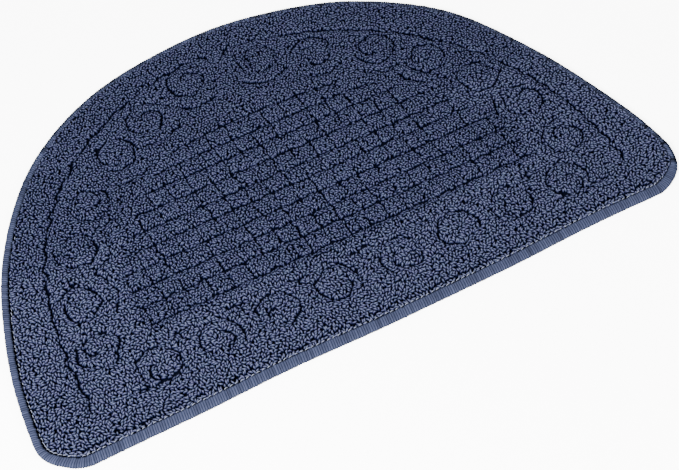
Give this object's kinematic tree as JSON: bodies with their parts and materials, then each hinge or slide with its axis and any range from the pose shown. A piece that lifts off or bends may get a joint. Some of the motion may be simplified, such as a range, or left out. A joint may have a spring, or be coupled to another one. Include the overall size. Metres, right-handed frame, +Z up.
{
  "type": "half moon doormat",
  "caption": "Half moon doormat of looped pile in dark navy, with a carved grid of blocks, a running scroll border and a sewn yarn edge.",
  "frame": {"origin": "on the floor under the middle of the mat's overall length and depth", "axes": "+X along the straight front edge towards its right end, +Y from the straight front edge towards the arch, +Z up out of the pile"},
  "size_m": [0.8198, 0.5198, 0.009],
  "materials": {
    "mat": "looped pile",
    "binding": "serged yarn"
  },
  "bodies": {
    "root": {"mat": "mat", "binding": "binding"}
  },
  "joints": []
}
